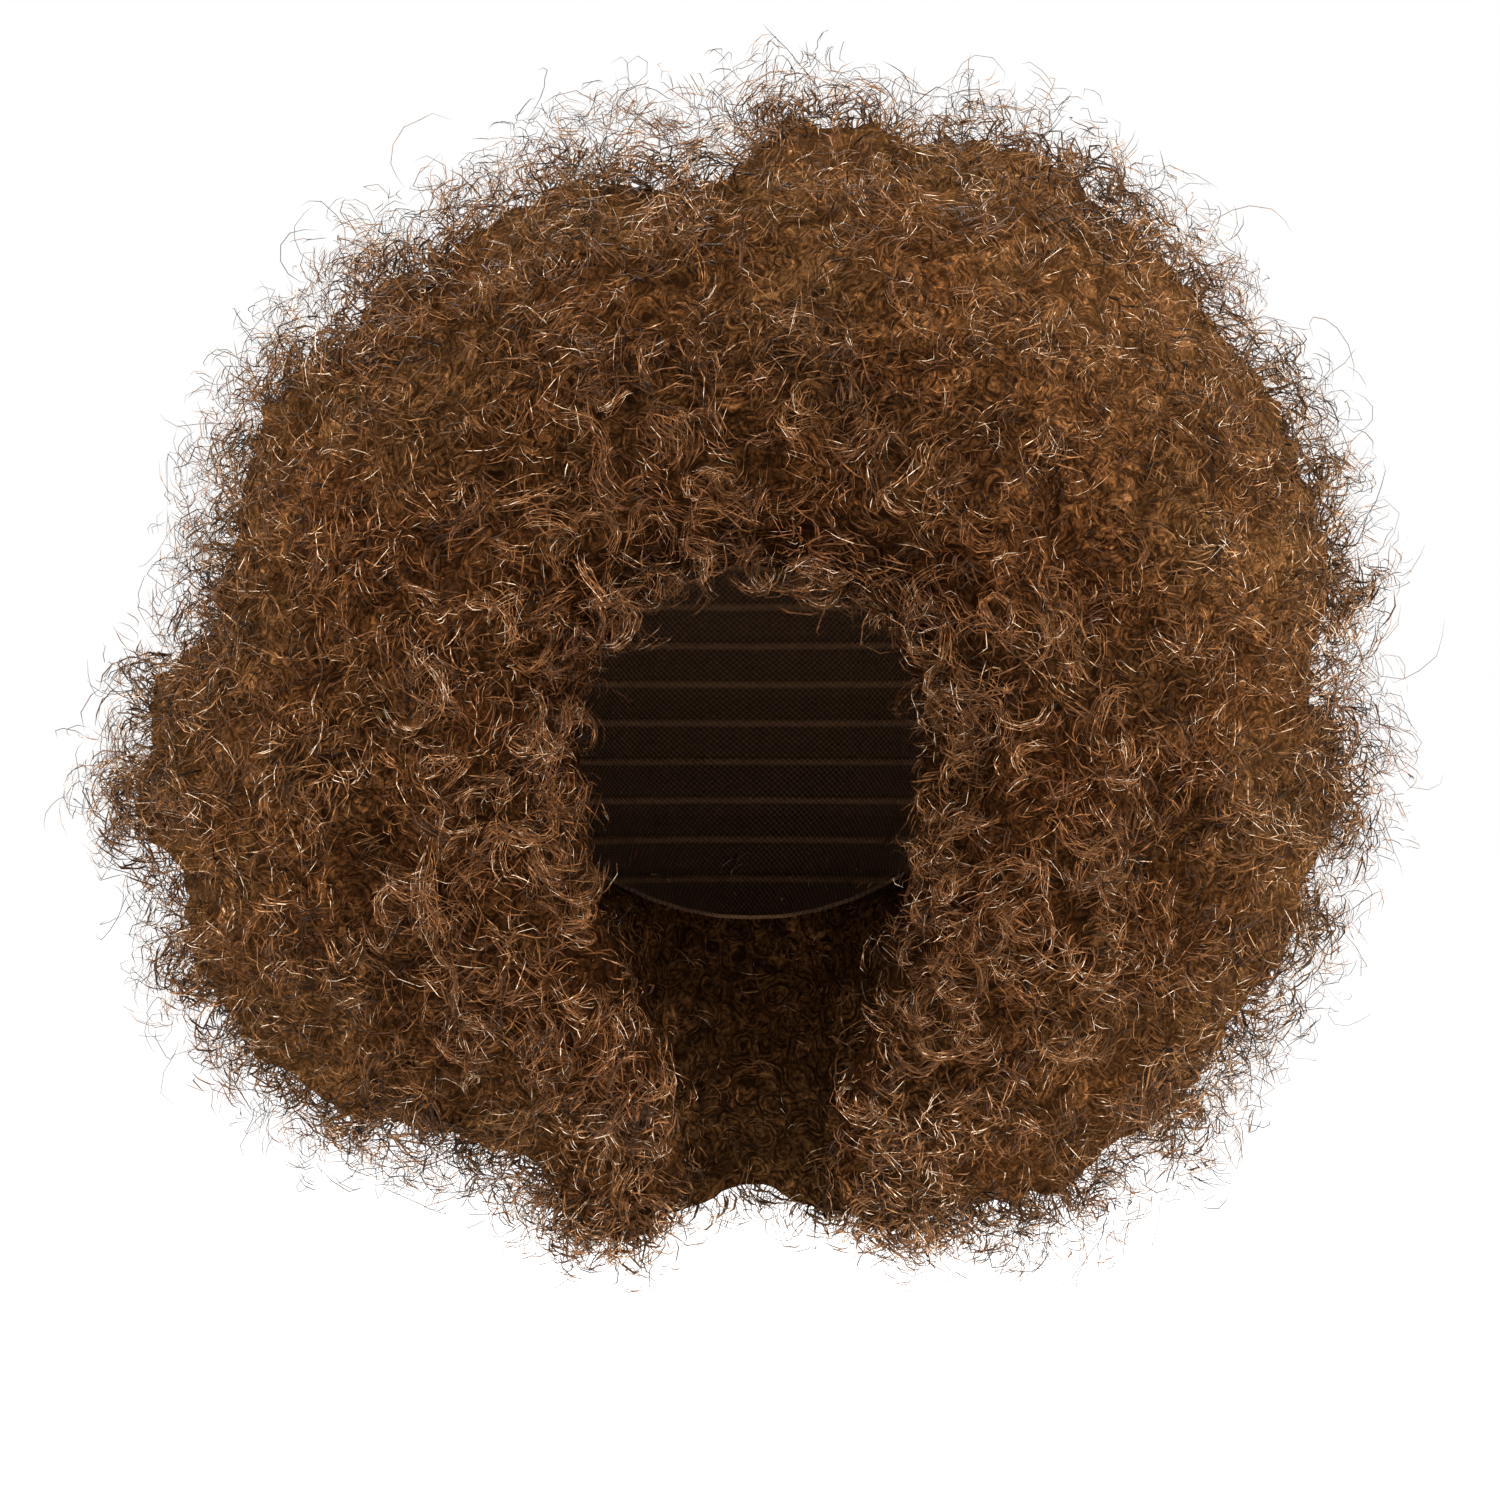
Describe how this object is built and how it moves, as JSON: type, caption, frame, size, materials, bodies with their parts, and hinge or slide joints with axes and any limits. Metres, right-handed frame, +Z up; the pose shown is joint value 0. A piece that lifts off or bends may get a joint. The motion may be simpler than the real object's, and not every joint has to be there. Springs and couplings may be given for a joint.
{
  "type": "afro wig",
  "caption": "Large rounded afro wig: teased curly hair in sewn zones on a thin stretch cap, open at the face and below for the head.",
  "frame": {"origin": "inside of the cap at the crown, where the wig sits on the head", "axes": "+Z up, the face opening towards -Y, +X towards the wearer's left"},
  "size_m": [0.4188, 0.3547, 0.3852],
  "materials": {
    "hair": "matt curled synthetic fibre",
    "cap_knit": "matt knit"
  },
  "bodies": {
    "root": {"cap": "cap_knit", "hair_crown": "hair", "hair_front": "hair", "hair_back": "hair", "hair_nape": "hair", "hair_right_side": "hair", "hair_left_side": "hair"}
  },
  "joints": []
}
